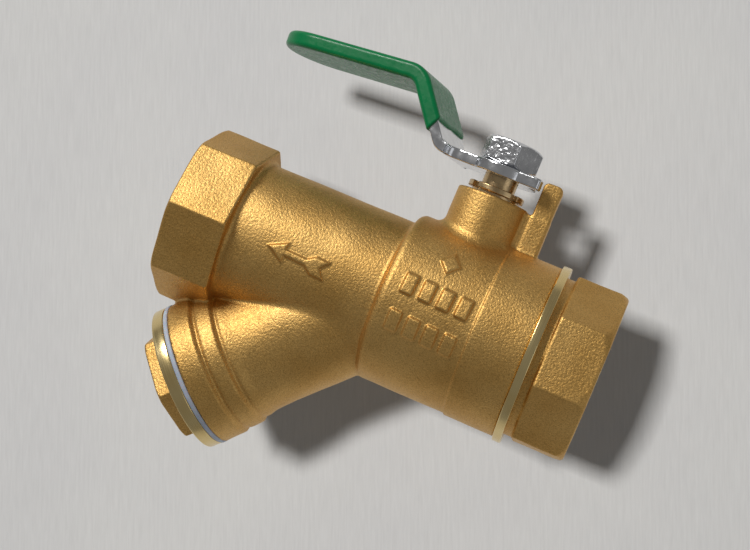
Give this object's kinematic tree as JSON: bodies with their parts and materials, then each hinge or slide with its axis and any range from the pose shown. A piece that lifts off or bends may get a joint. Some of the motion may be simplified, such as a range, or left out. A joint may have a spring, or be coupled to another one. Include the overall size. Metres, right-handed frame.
{
  "type": "ball valve with built-in y strainer",
  "caption": "Threaded brass ball valve with a quarter-turn lever and a slanted strainer leg closed by a screwed hexagon cap.",
  "frame": {"origin": "centre of the outlet port's face", "axes": "+X along the pipe from the outlet to the inlet, +Z along the stem towards the lever; the flow runs towards -X"},
  "size_m": [0.105, 0.0442, 0.1035],
  "materials": {
    "cast_brass": "blasted casting",
    "cut_brass": "turned",
    "chrome": "polished plating",
    "seal": "smooth",
    "grip": "dipped vinyl",
    "screen_steel": "perforated"
  },
  "bodies": {
    "body": {"valve_body": "cast_brass", "end_connector": "cast_brass", "body_seal": "seal", "outlet_seat": "seal", "inlet_seat": "seal", "thrust_washer": "seal", "packing_lower": "seal", "packing_upper": "seal", "gland_nut": "cut_brass", "cap_gasket": "seal"},
    "lever_set": {"stem": "cut_brass", "ball": "chrome", "lever": "chrome", "lever_grip": "grip", "lever_nut": "chrome"},
    "screen_set": {"screen_tube": "screen_steel", "screen_mesh": "screen_steel", "screen_inner_ring": "screen_steel", "screen_outer_ring": "screen_steel"},
    "cap": {"strainer_cap": "cut_brass"}
  },
  "joints": [
    {"name": "lever_turn", "type": "hinge", "parent": "body", "child": "lever_set", "pos_m": [0.0668, 0, 0.036], "axis": [0, 0, -1], "range_deg": [-12, 78]},
    {"name": "screen_draw", "type": "slide", "parent": "body", "child": "screen_set", "axis": [-0.7071, 0, -0.7071], "range_m": [0, 0.009]},
    {"name": "cap_unscrew", "type": "hinge", "parent": "screen_set", "child": "cap", "pos_m": [0.01734, 0, -0.03536], "axis": [-0.7071, 0, -0.7071], "range_deg": [0, 2160]}
  ],
  "couplings": [
    {"joint": "cap_unscrew", "follows": "screen_draw", "rad_per_m": 4188.8}
  ]
}
